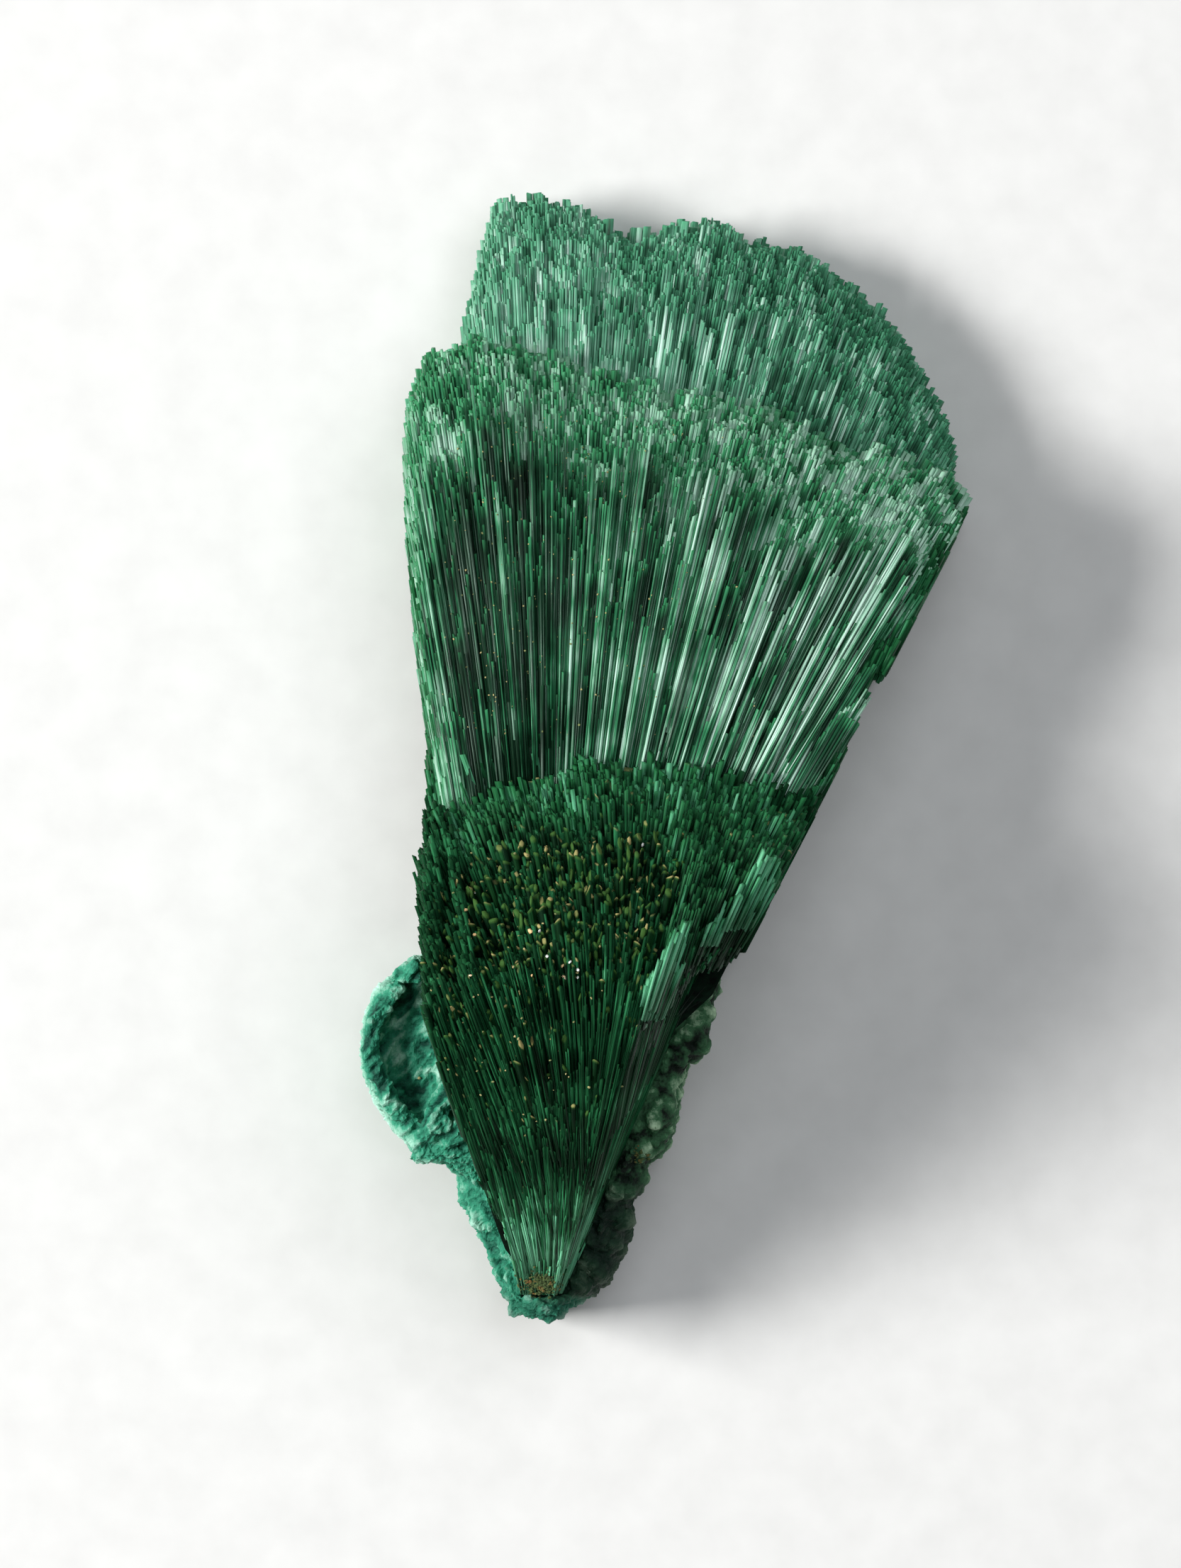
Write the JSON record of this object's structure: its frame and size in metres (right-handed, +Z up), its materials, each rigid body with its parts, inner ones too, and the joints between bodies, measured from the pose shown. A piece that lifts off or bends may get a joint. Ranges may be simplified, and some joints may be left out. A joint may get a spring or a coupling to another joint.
{
  "type": "fibrous malachite specimen",
  "caption": "Fan-shaped mineral specimen of radiating green needles in three steps on a blue-green crust, lying on its back as a display or set piece.",
  "frame": {"origin": "middle of the footprint, on the surface that the specimen lies on", "axes": "+Y from the root to the broad end of the fan, +Z up out of the fan's front face, +X to the right as seen from above"},
  "size_m": [0.0332, 0.0604, 0.0252],
  "materials": {
    "malachite": "silky",
    "crust": "dull"
  },
  "bodies": {
    "root": {"malachite_spray": "malachite", "blue_green_crust": "crust"}
  },
  "joints": []
}
